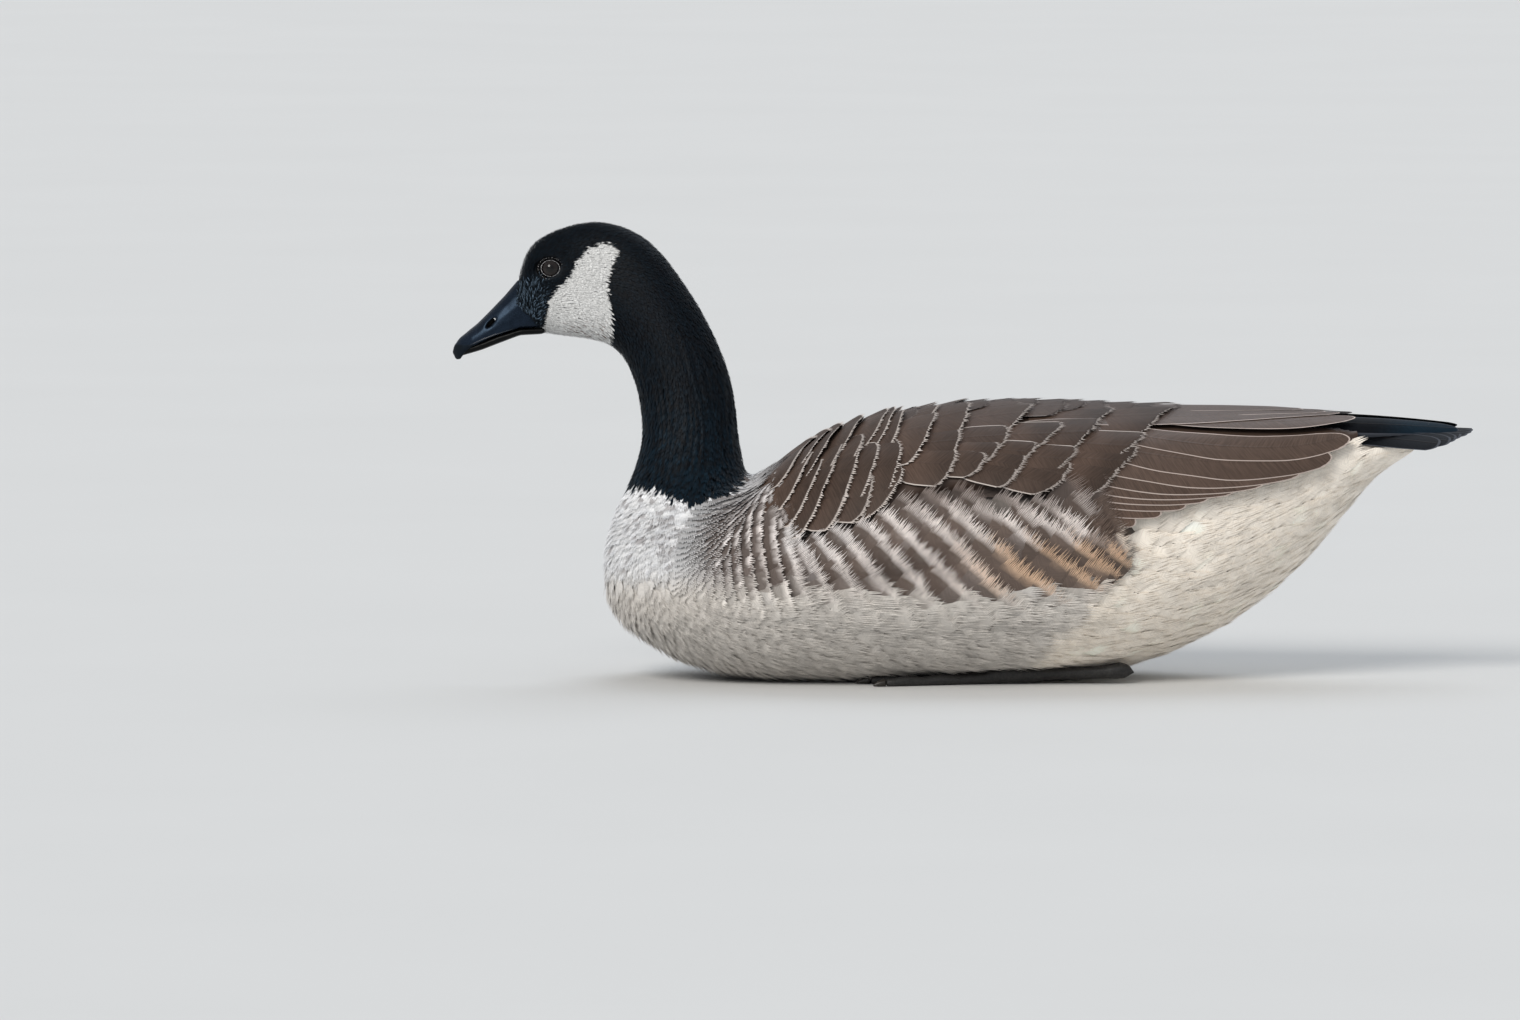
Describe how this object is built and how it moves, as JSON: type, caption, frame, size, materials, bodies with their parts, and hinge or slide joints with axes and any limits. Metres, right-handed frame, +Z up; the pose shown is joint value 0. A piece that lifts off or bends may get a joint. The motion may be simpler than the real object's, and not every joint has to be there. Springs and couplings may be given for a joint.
{
  "type": "canada goose",
  "caption": "Life-size still Canada goose in a swimming pose, resting on its belly: black neck and head with a white cheek patch, folded brown wings, short tail and tucked webbed feet.",
  "frame": {"origin": "on the floor under the belly, in the middle plane, half way between the tips of bill and tail", "axes": "-X the way the bird faces, +Y to its right side, +Z up"},
  "size_m": [0.6746, 0.208, 0.302],
  "materials": {
    "plumage_black": "matte feathers with a faint blue sheen",
    "plumage_white": "soft matte feathers",
    "plumage_grey": "soft matte feathers with pale tips",
    "plumage_brown": "smooth satin feathers with pale edges",
    "bill_horn": "smooth satin horn",
    "foot_skin": "scaly, satin",
    "claw": "satin horn",
    "eye": "wet gloss"
  },
  "bodies": {
    "root": {"head": "plumage_black", "neck_upper": "plumage_black", "neck_middle": "plumage_black", "neck_lower": "plumage_black", "breast": "plumage_white", "trunk": "plumage_grey", "rump": "plumage_white", "tail": "plumage_black", "bill_upper": "bill_horn", "bill_nail": "bill_horn", "bill_lower": "bill_horn", "eye_left": "eye", "eye_right": "eye", "wing_left_scapulars": "plumage_brown", "wing_left_coverts": "plumage_brown", "wing_left_secondaries": "plumage_brown", "wing_left_tertials": "plumage_brown", "wing_left_primaries": "plumage_black", "wing_right_scapulars": "plumage_brown", "wing_right_coverts": "plumage_brown", "wing_right_secondaries": "plumage_brown", "wing_right_tertials": "plumage_brown", "wing_right_primaries": "plumage_black", "leg_left_thigh": "plumage_grey", "leg_left_shank": "foot_skin", "leg_left_foot": "foot_skin", "leg_left_claw_inner": "claw", "leg_left_claw_middle": "claw", "leg_left_claw_outer": "claw", "leg_left_claw_hind": "claw", "leg_right_thigh": "plumage_grey", "leg_right_shank": "foot_skin", "leg_right_foot": "foot_skin", "leg_right_claw_inner": "claw", "leg_right_claw_middle": "claw", "leg_right_claw_outer": "claw", "leg_right_claw_hind": "claw"}
  },
  "joints": []
}
